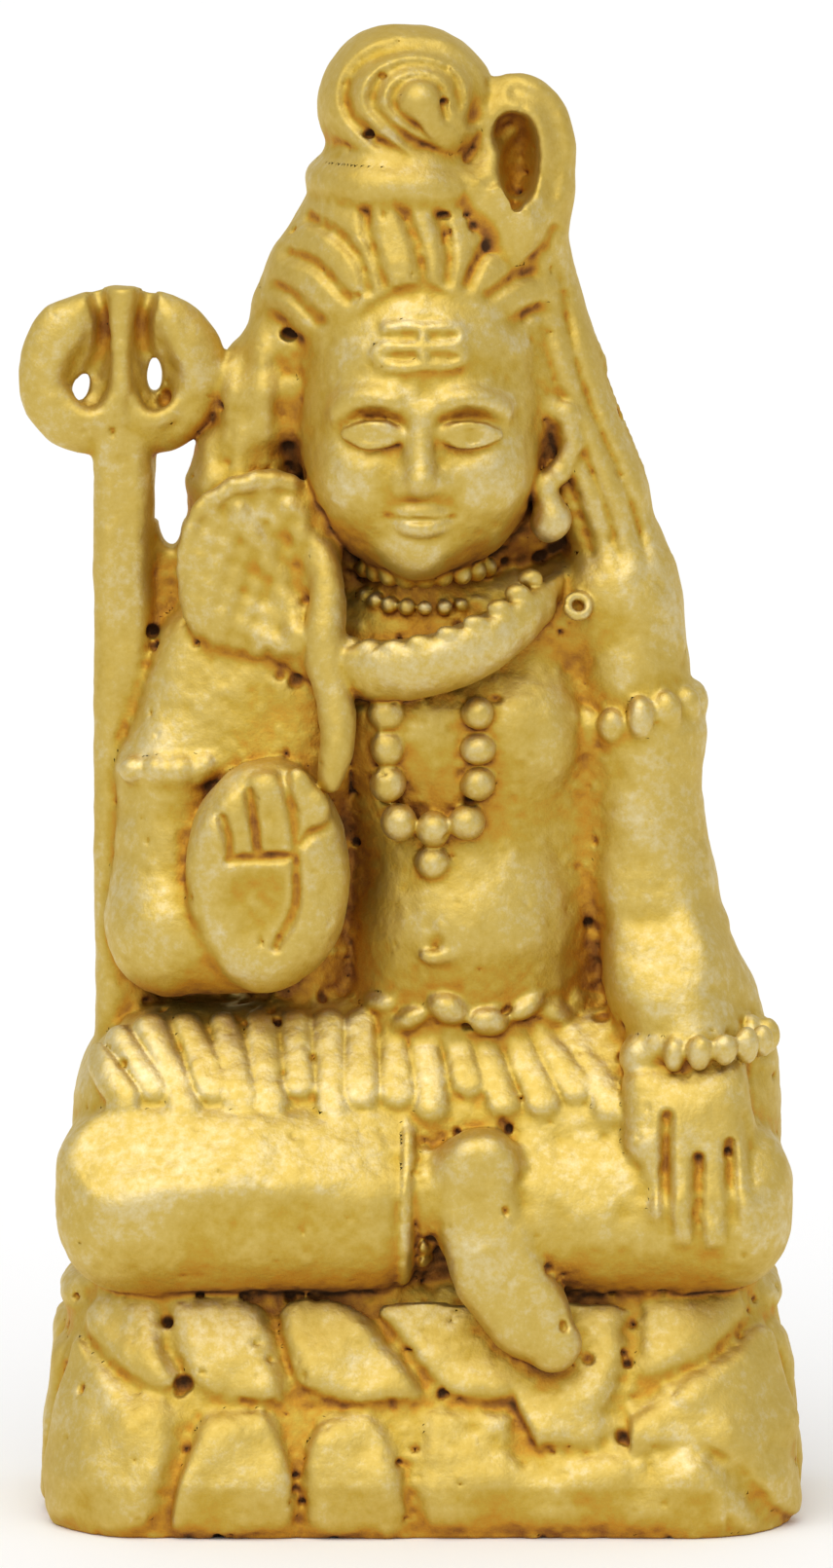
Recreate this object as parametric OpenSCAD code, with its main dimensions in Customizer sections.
// A small seated deity, cast in one piece: cross-legged on a rock seat, a trident standing
// at one side, a cobra over the same shoulder, one hand raised and one hand on the knee.
// Each sculpted element is a node of its own. +Z is up, the figure faces -Y, and the origin
// is on the underside at the middle. "Right" and "left" are the figure's own.

/* [Overall] */
// Height from the underside to the top of the hair bun
statue_h = 70; // [55:1:120]
// Sides of a round form, which sets how smooth it is
facets = 16; // [12:2:24]

/* [Rock seat] */
// Width of the rock seat at its widest
base_w = 35.6; // [34:0.2:36.4]
// Depth of the rock seat from front to back
base_d = 19; // [17:0.2:19]
// Height of the core block, which the legs rest on
core_h = 11.5; // [11:0.1:12]
// How far the stones stand proud of the core block
stone_proud = 1.3; // [0.8:0.1:1.8]

/* [Legs and skirt] */
// Radius of a folded leg at the knee
knee_r = 4.2; // [3.8:0.1:4.6]
// Radius of a folded leg at the ankle
ankle_r = 3.5; // [3:0.1:3.8]
// Number of hanging strips on the front of the skirt
skirt_count = 15; // [9:1:19]
// Radius of one skirt strip
strip_r = 0.7; // [0.5:0.05:0.8]

/* [Torso and arms] */
// Width of the chest
chest_w = 12.4; // [11:0.2:13]
// Depth of the torso from front to back
torso_d = 8.6; // [8:0.1:9.4]
// Radius of the upper arms
arm_r = 2.7; // [2.4:0.1:3]
// Radius of the fingers
finger_r = 0.75; // [0.6:0.05:0.85]
// Diameter of one necklace bead
bead_d = 1.4; // [1:0.1:1.5]

/* [Head and hair] */
// Width of the head across the cheeks
head_w = 11; // [10:0.2:11.6]
// Height of the head from chin to crown
head_h = 13.6; // [12.6:0.2:14]
// Depth of the head from front to back
head_d = 9.8; // [9:0.2:10.4]
// Radius of the hair bun
bun_r = 4.1; // [3.6:0.1:4.3]
// Turns of the coiled lock on the front of the bun
coil_turns = 1.6; // [1:0.1:2]

/* [Trident and cobra] */
// Radius of the trident's shaft
shaft_r = 1.3; // [1:0.1:1.5]
// Width of the trident's head across its outer prongs
trident_w = 9.6; // [8.6:0.2:10]
// Width of the cobra's hood
hood_w = 7.2; // [6.4:0.2:7.6]
// Radius of the cobra's body
snake_r = 1.05; // [0.8:0.05:1.2]

/* [Hidden] */

u = statue_h / 70;                  // the figure is laid out at 70 high, then scaled as one
brass = [0.82, 0.67, 0.31];
bright = [0.88, 0.76, 0.44];
shade = [0.70, 0.54, 0.24];
far = 200;                          // larger than the whole figure
trim_facets = 10;                   // sides of the smallest tapered forms
bead_facets = 24;
back_strips = 5;
belt_lumps = 18;
base_x = 0.5;                       // the seat sits a little to the figure's left of centre
core_w = base_w - 2 * stone_proud;
core_d = base_d - 2 * stone_proud;
corner_r = 5.5;

// Lower stones of the front and back rows: [low x, high x, top z]
front_stones = [[-far, -10.9, 8.2], [-10.7, -5.4, 5.9], [-5.2, 0.1, 5.9], [0.3, 12.4, 4.8], [12.6, far, 9]];
back_stones = [[-far, -9.6, 7.4], [-9.4, -2.8, 6.2], [-2.6, 4.2, 7.2], [4.4, 10.8, 6], [11, far, 7.8]];
// Slabs of the upper tier: [low x, high x, lean in degrees]
front_slabs = [[-far, -11.2, 8], [-11, -5.8, 12], [-5.6, 0.4, 22], [0.6, 8.6, -10], [8.8, far, -16]];
side_y = 3.6;                       // the side stones reach this far to the front and the back
side_top = 8.6;                     // height of the side stones where they meet
stone_gap = 0.2;                    // width of the joints between the stones
slab_inset = 0.5;                   // the slabs stand back from the stones by this much
slab_low = 4;
slab_top = 11;
slab_turn_z = 8;                    // the leaning joints turn about a point at this height
side_slab_low = 9.6;
rear_lean = 14;
rear_offset = 2.6;                  // the rear slabs' joints miss the joints of the stones below
rim_round = 0.9;                    // how far a rim is rounded off at its top

torso_x = 2.7;                      // the chest leans to the figure's left of its base
neck_x = 0.8;
head_at = [0.5, -0.9, 51.2];
bun_at = [-0.2, 0.2, 70 - bun_r];
band_at = [-0.4, 0.2, 62.3];
band_ring_r = 3.6;
band_r = 1.05;
shaft_at = [-13.4, 0.2];
shaft_low = 20;
shaft_high = 51;
trident_z = 53.8;                   // height of the widest place on the trident's head
trident_top = 57.6;
hood_at = [-7.1, -2.3, 44.4];
belt_z = 24;
belt_w = 11.4;
belt_d = 9.2;
belt_r = 0.75;
necklace_x = 1.05;
necklace_r = 2.1;
necklace_z = 34.3;
bead_step = 1.1 * bead_d + 0.1;
bead_gap = 0.08;                    // keeps the beads apart at the bottom of the loop
across_step = 1.58;                 // the three beads that lie across the bottom
across_drop = 1.25;
across_sag = 0.3;

right_shoulder = [-9.3, -0.3, 39.2];
right_upper = [-11, -1.1, 33.4];    // halfway down the upper arm
right_elbow = [-11.3, -1.9, 27.8];
right_wrist = [-7.3, -4.8, 27.6];
right_armlet_at = [-10.7, -0.9, 35.4];
left_shoulder = [9.8, -0.3, 40.9];
left_upper = [10.9, -0.8, 35.4];
left_elbow = [11.7, -1.4, 29.6];
left_wrist = [13.4, -4.4, 23.4];
left_armlet_at = [10.7, -0.6, 37.2];
left_bracelet_at = [13.5, -4.8, 22.6];
shoulder_boss_at = [7.9, -2.8, 42.6];
right_knee = [-12.6, -3.6, 15.5];
right_calf = [-6.5, -4.6, 15.6];
right_ankle = [0.2, -5.2, 15.5];
left_knee = [13.3, -3.4, 15.4];
left_calf = [8, -4, 15.2];
left_ankle = [3.2, -4.1, 14.9];

// ---- shapes that the elements share ----

module ball(at, r, fine = facets) translate(at) sphere(r, $fn = fine);

// A rounded form with the given full size along X, Y and Z
module egg(at, size, turn = [0, 0, 0])
    translate(at) rotate(turn) hull() scale(size / 2) sphere(1, $fn = facets);

// A run of tapered limbs through the points, each with its own radius
module limb(points, radii, fine = facets)
    for (i = [0 : len(points) - 2])
        hull() {
            ball(points[i], radii[i], fine);
            ball(points[i + 1], radii[i + 1], fine);
        }

// A body blended through a column of rounded forms
module column(places, sizes)
    for (i = [0 : len(places) - 2])
        hull() {
            egg(places[i], sizes[i]);
            egg(places[i + 1], sizes[i + 1]);
        }

// A ring of round wire about an axis that leans from +Z
module ring(at, ring_r, wire_r, lean)
    translate(at) rotate(lean)
        rotate_extrude($fn = 48) translate([ring_r, 0]) circle(wire_r, $fn = 24);

function rounded_rect(w, d, r, steps = 6) = [
    for (c = [0 : 3], s = [0 : steps])
        let (a = 90 * c + 90 * s / steps, sx = (c == 0 || c == 3) ? 1 : -1, sy = c < 2 ? 1 : -1)
            [sx * (w / 2 - r) + r * cos(a), sy * (d / 2 - r) + r * sin(a)]
];

module core_block()
    translate([base_x, 0, 0])
        linear_extrude(height = core_h) polygon(rounded_rect(core_w, core_d, corner_r));

// ---- the rock seat ----

module plinth() color(shade) scale(u) core_block();

// A solid rim round the core, rounded off towards its top
module rim(low, top, inset) {
    w = base_w - 2 * inset;
    d = base_d - 2 * inset;
    translate([base_x, 0, low]) hull() {
        linear_extrude(height = top - low - rim_round)
            polygon(rounded_rect(w, d, corner_r));
        linear_extrude(height = top - low)
            polygon(rounded_rect(w - 2 * rim_round, d - 2 * rim_round, corner_r - rim_round));
    }
}

// The space between two upright cuts that run from front to back
module between(low, high, y0, y1)
    translate([low, y0, -1]) cube([high - low, y1 - y0, far]);

module stone(low, high, y0, y1, top) color(brass) scale(u)
    difference() {
        intersection() {
            rim(0, top, 0);
            between(low, high, y0, y1);
        }
        core_block();
    }
module front_stone(i) stone(front_stones[i][0], front_stones[i][1], -far, -side_y, front_stones[i][2]);
module back_stones()
    for (s = back_stones) stone(s[0], s[1], side_y, far, s[2]);
module side_stones(side)
    for (y = [-side_y + stone_gap / 2, stone_gap / 2])
        stone(side < 0 ? -far : 0, side < 0 ? 0 : far, y, y + side_y - stone_gap, side_top - 0.2 * y);
module right_side_stones() side_stones(-1);
module left_side_stones() side_stones(1);

// The space that the row of lower stones takes up
module stones_below(rows, y0, y1)
    for (s = rows) translate([s[0], y0, -1]) cube([s[1] - s[0] + stone_gap, y1 - y0, s[2] + 1]);

// One leaning slab of the upper tier, resting on the stones
module seat_slab(i) {
    low = front_slabs[i][0];
    high = front_slabs[i][1];
    lean = front_slabs[i][2];
    next = i < len(front_slabs) - 1 ? front_slabs[i + 1][2] : 0;
    color(bright) scale(u)
        difference() {
            rim(slab_low, slab_top, slab_inset);
            core_block();
            stones_below(front_stones, -far, -side_y);
            translate([-far, -side_y, -1]) cube([2 * far, 2 * far, far]);
            if (low > -far) leaning_cut(low, lean, -1);
            if (high < far) leaning_cut(high, next, 1);
            leg_forms();
            right_foot_form();
        }
}
// Everything on one side of a plane that leans from the upright
module leaning_cut(x, lean, side)
    translate([x, 0, slab_turn_z]) rotate([0, -lean, 0])
        translate([side > 0 ? 0 : -2 * far, -far, -far]) cube(2 * far);

module rear_slabs() color(bright) scale(u)
    difference() {
        rim(slab_low, slab_top, slab_inset);
        core_block();
        stones_below(back_stones, side_y, far);
        translate([-far, -2 * far + side_y, -1]) cube([2 * far, 2 * far, far]);
        for (s = back_stones) leaning_slot(s[1] - rear_offset);
        lap_form();
        leg_forms();
    }
// A narrow groove that parts two slabs
module leaning_slot(x)
    translate([x, 0, slab_turn_z]) rotate([0, rear_lean, 0])
        translate([0, -far, -far]) cube([stone_gap, 2 * far, 2 * far]);

module side_slabs() color(bright) scale(u)
    difference() {
        rim(slab_low, slab_top, slab_inset);
        core_block();
        lap_form();
        leg_forms();
        translate([-far, -far, -1]) cube([2 * far, 2 * far, side_slab_low + 1]);
        for (s = [-1, 1])
            translate([-far, s * (far + side_y - stone_gap / 2) - far, -1]) cube([2 * far, 2 * far, far]);
    }

// ---- legs, feet and skirt ----

// Thighs and hips in one, from the right knee over the seat to the left knee
lap_places = [[-12.4, 0.6, 16.2], [-6, 1, 17.2], [1.5, 1.2, 18.4], [8, 1, 17.2], [13.4, 0.6, 16]];
lap_sizes = [[8, 10, 10], [9, 12, 12.6], [11, 13.4, 14], [9, 12, 12.6], [7.6, 10, 10]];
module lap_form() column(lap_places, lap_sizes);
module lap() color(brass) scale(u)
    difference() {
        lap_form();
        core_block();
        leg_forms();
        torso_form();
    }

module right_leg_form()
    limb([right_knee, right_calf, right_ankle], [knee_r, knee_r - 0.1, ankle_r]);
module left_leg_form()
    limb([left_knee, left_calf, left_ankle], [knee_r + 0.1, knee_r, ankle_r]);
module leg_forms() {
    right_leg_form();
    left_leg_form();
}
module right_leg() color(bright) scale(u)
    difference() {
        right_leg_form();
        core_block();
        right_foot_form();
        left_leg_form();
    }
module left_leg() color(bright) scale(u)
    difference() {
        left_leg_form();
        core_block();
        right_foot_form();
        left_hand_form();
    }

// The right foot hangs down in front of the left ankle, heel up and toes out
foot_places = [[3.3, -6.9, 16.9], [3.6, -7.5, 13.8], [4.6, -7.7, 11.2], [6.3, -7.8, 9.1]];
foot_radii = [2.1, 1.55, 1.75, 1.3];
ankle_joint = [0.9, -5.6, 15.8];
module right_foot_form() {
    limb(foot_places, foot_radii);
    limb([foot_places[0], ankle_joint], [1.9, 2.4]);
}
module right_foot() color(bright) scale(u)
    difference() {
        right_foot_form();
        core_block();
    }

// Two thin rings round the ankle
anklet_x = [-0.9, 0.2];
module anklet() color(bright) scale(u)
    for (x = anklet_x)
        ring([x, -5.1, 15.5], ankle_r + 0.1, 0.42, [0, 90, -6]);

// One strip hangs from the belt line and fans outwards with its place in the row
strip_fan = 1.52;                   // the row runs from t = 1 down to t = 1 - strip_fan
function strip_top(t) = [1.4 - 15.2 * t, -3.2 - 2 * (1 - t * t), 23.4 - 2.4 * t * t];
function strip_end(t) = [1 - 17 * t, -5.8 - 1.4 * (1 - t * t), 19.4 - 0.2 * t * t];
module skirt_front() color(bright) scale(u)
    for (i = [0 : skirt_count - 1]) {
        t = 1 - strip_fan * i / (skirt_count - 1);
        limb([strip_top(t), strip_end(t)], [strip_r, 0.85 * strip_r], trim_facets);
    }
// Behind, the strips fan out from the belt in a half circle
function back_top(a) = [2 - 6 * cos(a), 1 + 4.4 * sin(a), 22.9];
function back_end(a) = [1 - 9.5 * cos(a), 1.2 + 6.9 * sin(a), 18 + 4.6 * abs(cos(a))];
module skirt_back() color(brass) scale(u)
    difference() {
        for (i = [0 : 2 * back_strips]) {
            a = 90 * i / back_strips;
            limb([back_top(a), back_end(a)], [strip_r, 1.15 * strip_r], trim_facets);
        }
        lap_form();
    }

// ---- torso, neck and what they wear ----

// Hips, belly, waist, chest, shoulders and the root of the neck
torso_places = [
    [torso_x, 0, 23.6], [torso_x + 0.1, -0.5, 27.8], [torso_x, 0, 32],
    [torso_x - 0.1, 0, 36.4], [1.4, 0.5, 40.4], [neck_x, 0.6, 42.4]
];
torso_sizes = [
    [11.2, torso_d, 6], [11, torso_d + 0.6, 7], [10.6, torso_d - 0.6, 6],
    [chest_w, torso_d, 7], [15.6, torso_d - 2, 5], [6, torso_d - 3, 3]
];
module torso_form() column(torso_places, torso_sizes);
module torso() color(brass) scale(u)
    difference() {
        torso_form();
        right_hand_form();
        hood_form();
    }

module waist_belt() color(bright) scale(u)
    for (i = [0 : belt_lumps - 1]) {
        a = 360 * i / belt_lumps;
        ball([torso_x + belt_w / 2 * cos(a), belt_d / 2 * sin(a) - 0.1, belt_z], belt_r, bead_facets);
    }

module neck_form() limb([[neck_x, 0.2, 41], [0.6, 0, 46.4]], [2.7, 2.6]);
module neck() color(shade) scale(u)
    difference() {
        neck_form();
        torso_form();
        head_form();
    }

// A row of tiny beads round the front of the neck
choker_beads = 16;
choker_ring_r = 3.1;
choker_bead_r = 0.27;
module choker() color(bright) scale(u)
    for (i = [0 : choker_beads - 1]) {
        a = 180 + 180 * (i + 0.5) / choker_beads;
        at = [neck_x + choker_ring_r * cos(a), choker_ring_r * sin(a), 43 + 0.5 * sin(a)];
        ball(at, choker_bead_r, bead_facets);
    }

// A snake laid round the neck as a collar, higher on the figure's left
function collar_at(t) = [1.1 + 4.7 * cos(t), -0.4 + 4 * sin(t), 42.6 + 2.6 * sin(t) + 0.8 * cos(t)];
collar_steps = 9;
collar_r = 0.85;
module collar() color(bright) scale(u)
    limb(
        [for (i = [0 : collar_steps]) collar_at(180 + 180 * i / collar_steps)],
        [for (i = [0 : collar_steps]) collar_r], trim_facets
    );

// The beads hang in a U: three down each side and three across, with the middle one lowest
function bead_at(i) =
    abs(i) > 1
        ? [necklace_x + sign(i) * necklace_r, necklace_z + (abs(i) - 1.65) * bead_step]
        : [necklace_x + i * across_step, necklace_z - across_drop - across_sag * (1 - abs(i))];
function chest_front(x) = -torso_d / 2 * sqrt(1 - pow((x - torso_x) / (chest_w / 2), 2));
module necklace() color(bright) scale(u)
    for (i = [-4 : 4])
        ball(
            [bead_at(i)[0], chest_front(bead_at(i)[0]) - 0.15, bead_at(i)[1]],
            bead_d / 2 - bead_gap, bead_facets
        );
module pendant() color(bright) scale(u)
    ball([necklace_x, chest_front(necklace_x) - 0.2, bead_at(0)[1] - bead_step], bead_d / 2, bead_facets);

// ---- head and hair ----

module head_form() {
    egg([head_at[0], head_at[1], head_at[2] + 0.9], [head_w, head_d, head_h - 1.8]);
    hull() {
        egg([head_at[0], head_at[1] - 0.4, head_at[2] - 1], [head_w - 1.6, head_d - 1.4, head_h - 4]);
        egg([head_at[0], head_at[1] - 1.6, head_at[2] - head_h / 2 + 1.9], [5.8, 4.6, 3.8]);
    }
    // brow, eyes, nose, lips and ears are plain and evenly spaced
    nose_tip = [head_at[0], head_at[1] - head_d / 2 - 0.5, head_at[2] - 1.7];
    hull() {
        ball(nose_tip, 0.75);
        ball([head_at[0], head_at[1] - head_d / 2 + 0.5, head_at[2] + 1], 0.5);
    }
    for (s = [-1, 1])
        egg([head_at[0] + s * 2.3, head_at[1] - head_d / 2 + 0.45, head_at[2] + 0.3], [2.4, 1, 1]);
    egg([head_at[0], head_at[1] - head_d / 2 + 0.3, head_at[2] - 3.7], [2.8, 1.2, 1]);
}
module head() color(brass) scale(u) head_form();

// Three level bars on the forehead, one above another
mark_w = 3.2;
mark_z = 4.2;
mark_step = 0.8;
mark_r = 0.3;
module forehead_mark() color(bright) scale(u)
    for (i = [-1 : 1])
        limb([for (s = [-1, 1]) head_at + [s * mark_w / 2, 0.7 - head_d / 2, mark_z + mark_step * i]],
            [mark_r, mark_r], trim_facets);

// The hair over the head, from its gathered top down to the nape
cap_places = [[-0.3, 0.4, 61], [0.3, 0.6, 57.6], [0.8, 1, 53.4], [1.2, 1.4, 48.6]];
cap_sizes = [[8.4, 7, 2.6], [13.6, 10, 6], [16, 10.2, 8], [16.4, 8.6, 7]];
module hair_cap_form() column(cap_places, cap_sizes);
module hair_cap() color(brass) scale(u)
    difference() {
        hair_cap_form();
        head_form();
        face_opening();
        hood_form();
        neck_form();
    }
// The face shows through an oval opening in the front of the hair
module face_opening()
    egg([head_at[0], -7.4, head_at[2] - 0.6], [head_w + 0.2, 11.5, head_h + 0.4]);

module hair_band() color(bright) scale(u) ring(band_at, band_ring_r, band_r, [0, 0, 0]);
module hair_bun() color(brass) scale(u)
    difference() {
        ball(bun_at, bun_r, 48);
        translate([-far / 2, -far / 2, band_at[2] - far]) cube(far);
    }

// The coiled lock winds inwards over the front of the bun
function coil_at(t) =
    let (a = 360 * coil_turns * t + 200, lean = 62 * (1 - t))
        bun_at + (bun_r - 0.1) * [sin(lean) * cos(a), -cos(lean), sin(lean) * sin(a)];
coil_steps = 14;
coil_r = 0.55;
module bun_coil() color(bright) scale(u)
    limb(
        [for (i = [0 : coil_steps]) coil_at(i / coil_steps)],
        [for (i = [0 : coil_steps]) coil_r], trim_facets
    );

// The loop of hair, shaped as a crescent, beside the bun
function loop_at(a) = [5.3 + 1.7 * cos(a), 0.3, 64 + 3 * sin(a)];
function loop_r(a) = 0.95 - 0.2 * sin(a);
module hair_loop() color(brass) scale(u)
    difference() {
        limb([for (a = [0 : 30 : 360]) loop_at(a)], [for (a = [0 : 30 : 360]) loop_r(a)], trim_facets);
        ball(bun_at, bun_r);
        hair_cap_form();
    }

// The loose hair falls behind the shoulders, a lock to each side and a sheet between them
left_lock_places = [[6.6, 0.9, 58.4], [8.4, 1.3, 52], [10.2, 1.5, 46], [11.6, 1.7, 40.6], [12, 1.9, 37]];
right_lock_places = [[-6.2, 1, 56], [-7.6, 1.3, 51], [-8.4, 1.6, 46], [-8.8, 1.9, 42]];
back_hair_places = [[0.8, 3, 52], [1.2, 3.4, 44], [1.6, 3.4, 35.5]];
back_hair_sizes = [[14, 6, 10], [15, 5.6, 8], [8, 4, 6]];
module left_lock_form() limb(left_lock_places, [1.5, 2, 2, 1.5, 0.9]);
module left_lock() color(brass) scale(u)
    difference() {
        left_lock_form();
        hair_cap_form();
        left_arm_form();
        torso_form();
    }
module right_lock_form() limb(right_lock_places, [1.4, 1.9, 2, 1.7]);
module right_lock() color(shade) scale(u)
    difference() {
        right_lock_form();
        hair_cap_form();
        right_arm_form();
        torso_form();
        hood_form();
    }
module back_hair() color(brass) scale(u)
    difference() {
        column(back_hair_places, back_hair_sizes);
        hair_cap_form();
        torso_form();
        left_lock_form();
        right_lock_form();
        left_arm_form();
        right_arm_form();
        neck_form();
    }

module left_ear() color(brass) scale(u)
    difference() {
        egg([6.7, -1.9, 50.6], [1.7, 2, 4]);
        head_form();
    }
// A small bead with a larger one under it
earring_at = [7, -2.1, 47.9];
earring_r = 0.85;
module earring() color(bright) scale(u) {
    ball(earring_at, 0.65 * earring_r, bead_facets);
    ball(earring_at - [0, 0, 1.8 * earring_r], earring_r, bead_facets);
}

// ---- arms and hands ----

elbow_extra = 0.2;                  // the right arm is a little thicker at its elbow
module right_arm_form() {
    limb([right_shoulder, right_upper, right_elbow], [arm_r, arm_r, arm_r + elbow_extra]);
    limb([right_elbow, right_wrist], [arm_r + elbow_extra, arm_r - 0.5]);
}
module right_arm() color(brass) scale(u)
    difference() {
        right_arm_form();
        torso_form();
        right_hand_form();
        hood_form();
        shaft_bore();
    }
module right_armlet() color(bright) scale(u) ring(right_armlet_at, arm_r - 0.05, 0.6, [6, -16, 0]);

// Four fingers side by side, each from its knuckle to its tip
module fingers(knuckles, tips)
    for (i = [0 : 3])
        limb([knuckles[i], tips[i]], [finger_r, finger_r], trim_facets);

// The raised hand: palm outwards, four fingers up, the thumb along the inner side
right_palm_at = [-6.4, -5.5, 30];
right_palm_size = [6.6, 3, 8.6];
right_thumb = [[-4.4, -5.6, 27.6], [-3.5, -6, 30.6], [-3.6, -6, 33.4]];
module right_hand_form() {
    egg(right_palm_at, right_palm_size);
    fingers(
        [for (i = [0 : 3]) [-8.6 + 1.35 * i, -6, 31.5]],
        [for (i = [0 : 3]) [-8.1 + 1.3 * i, -6, 34.2 + 0.9 * sin(60 * i + 10)]]
    );
    limb(right_thumb, [1, 0.85, 0.7]);
}
module right_hand() color(bright) scale(u)
    difference() {
        right_hand_form();
        cobra_body_form();
    }

module left_arm_form() {
    limb([left_shoulder, left_upper, left_elbow], [arm_r + 0.2, arm_r, arm_r]);
    limb([left_elbow, left_wrist], [arm_r, arm_r - 0.4]);
}
module left_arm() color(brass) scale(u)
    difference() {
        left_arm_form();
        torso_form();
        left_hand_form();
        lap_form();
        left_leg_form();
    }
module shoulder_boss() color(bright) scale(u) ring(shoulder_boss_at, 0.75, 0.35, [62, 0, 12]);

// A row of beads round a limb
module bead_ring(at, ring_r, count, r, lean)
    translate(at) rotate(lean)
        for (i = [0 : count - 1])
            rotate([0, 0, 360 * i / count]) ball([ring_r, 0, 0], r, bead_facets);
module left_armlet() color(bright) scale(u)
    bead_ring(left_armlet_at, arm_r + 0.1, 12, 0.68, [-4, -14, 0]);
module left_bracelet() color(bright) scale(u)
    bead_ring(left_bracelet_at, arm_r - 0.2, 11, 0.66, [-34, 12, 0]);

// The lowered hand lies over the knee with its fingers down
left_hand_places = [[13.5, -5.8, 20.2], [13.6, -6.9, 17.6]];
left_hand_sizes = [[5.2, 3, 4], [5.8, 2.4, 3.6]];
left_thumb = [[11.3, -6, 19.8], [10.6, -6.9, 17.2]];
module left_hand_form() {
    column(left_hand_places, left_hand_sizes);
    fingers(
        [for (i = [0 : 3]) [11.5 + 1.4 * i, -7.2, 17.4]],
        [for (i = [0 : 3]) [11.8 + 1.3 * i, -7.4, 14.6 - 0.7 * sin(60 * i)]]
    );
    limb(left_thumb, [0.9, 0.7]);
}
module left_hand() color(bright) scale(u)
    difference() {
        left_hand_form();
        lap_form();
        torso_form();
    }

// ---- the cobra ----

hood_lean = [0, -14, 0];
hood_h = 9.2;
hood_rim = 1;                       // width of the raised rim
cobra_places = [[-3.6, -3.3, 45.4], [-3.3, -3.9, 42], [-3, -4.5, 38.6], [-3.4, -4.9, 35.4]];
module hood_form() {
    egg(hood_at, [hood_w, 2.6, hood_h], hood_lean);
    hull() {
        egg(hood_at + [0.6, -0.2, -2], [hood_w - 2, 2.2, 5], hood_lean);
        ball(hood_at + [2.7, -0.6, -4.1], 0.8);
    }
}
module cobra_hood() color(bright) scale(u)
    difference() {
        hood_form();
        // the hollow face of the hood leaves a raised rim
        egg(hood_at + [-0.1, -1.9, 0.5], [hood_w - 2 * hood_rim, 2.4, hood_h - 2.6 * hood_rim], hood_lean);
        cobra_body_form();
    }
module cobra_body_form() limb(cobra_places, [0.9, snake_r, snake_r, 0.9]);
module cobra_body() color(bright) scale(u)
    difference() {
        cobra_body_form();
        neck_form();
        head_form();
        torso_form();
    }

// ---- the trident ----

module trident_shaft() color(brass) scale(u)
    translate([shaft_at[0], shaft_at[1], shaft_low])
        cylinder(r = shaft_r, h = shaft_high - shaft_low, $fn = 48);
// The room that the shaft takes up in whatever touches it
module shaft_bore()
    translate([shaft_at[0], shaft_at[1], 0]) cylinder(r = shaft_r, h = far, $fn = facets);

// An outer prong bows out from the socket and back in to its tip
prong_steps = 6;
prong_y = shaft_at[1] - 0.4;
prong_low = 51.4;
function prong_at(t, side) = [
    shaft_at[0] + side * (trident_w / 2 - 1.1) * sin(35 + 118 * t), prong_y,
    prong_low + (trident_top - prong_low - 0.8) * t
];
function prong_r(t) = 1.25 - 0.3 * abs(2 * t - 1);
module trident_outer_prongs() color(bright) scale(u)
    for (side = [-1, 1])
        limb(
            [for (i = [0 : prong_steps]) prong_at(i / prong_steps, side)],
            [for (i = [0 : prong_steps]) prong_r(i / prong_steps)], trim_facets
        );
module trident_centre_prong() color(bright) scale(u)
    translate([shaft_at[0], prong_y, shaft_high + 0.6])
        cylinder(r1 = 0.9, r2 = 1.1, h = trident_top - shaft_high - 0.6, $fn = 32);
module trident_socket() color(bright) scale(u)
    ring([shaft_at[0], shaft_at[1], shaft_high], shaft_r, 0.55, [0, 0, 0]);

// The thin runs of metal that join the trident to the figure
web_t = 1.2;
web_w = 3.4;
web_h = 21.4;
module trident_web() color(shade) scale(u)
    difference() {
        limb([[shaft_at[0] + trident_w / 2 - 0.6, 0, trident_z - 0.6], [-6.6, 0.6, 53]], [0.8, 0.9]);
        hair_cap_form();
        right_lock_form();
    }
module shaft_web() color(shade) scale(u)
    difference() {
        translate([shaft_at[0] + 0.6, shaft_at[1] - 0.5, shaft_low + 3]) cube([web_w, web_t, web_h]);
        shaft_bore();
        right_arm_form();
        right_lock_form();
        lap_form();
        torso_form();
    }

plinth();
front_stone(0);  // front_stone_1
front_stone(1);  // front_stone_2
front_stone(2);  // front_stone_3
front_stone(3);  // front_stone_4
front_stone(4);  // front_stone_5
right_side_stones();
left_side_stones();
back_stones();
seat_slab(0);  // seat_slab_1
seat_slab(1);  // seat_slab_2
seat_slab(2);  // seat_slab_3
seat_slab(3);  // seat_slab_4
seat_slab(4);  // seat_slab_5
side_slabs();
rear_slabs();
lap();
right_leg();
left_leg();
right_foot();
anklet();
skirt_front();
skirt_back();
waist_belt();
torso();
neck();
choker();
collar();
necklace();
pendant();
head();
forehead_mark();
hair_cap();
hair_band();
hair_bun();
bun_coil();
hair_loop();
left_lock();
right_lock();
back_hair();
left_ear();
earring();
right_arm();
right_armlet();
right_hand();
left_arm();
shoulder_boss();
left_armlet();
left_bracelet();
left_hand();
cobra_hood();
cobra_body();
trident_shaft();
trident_outer_prongs();
trident_centre_prong();
trident_socket();
trident_web();
shaft_web();
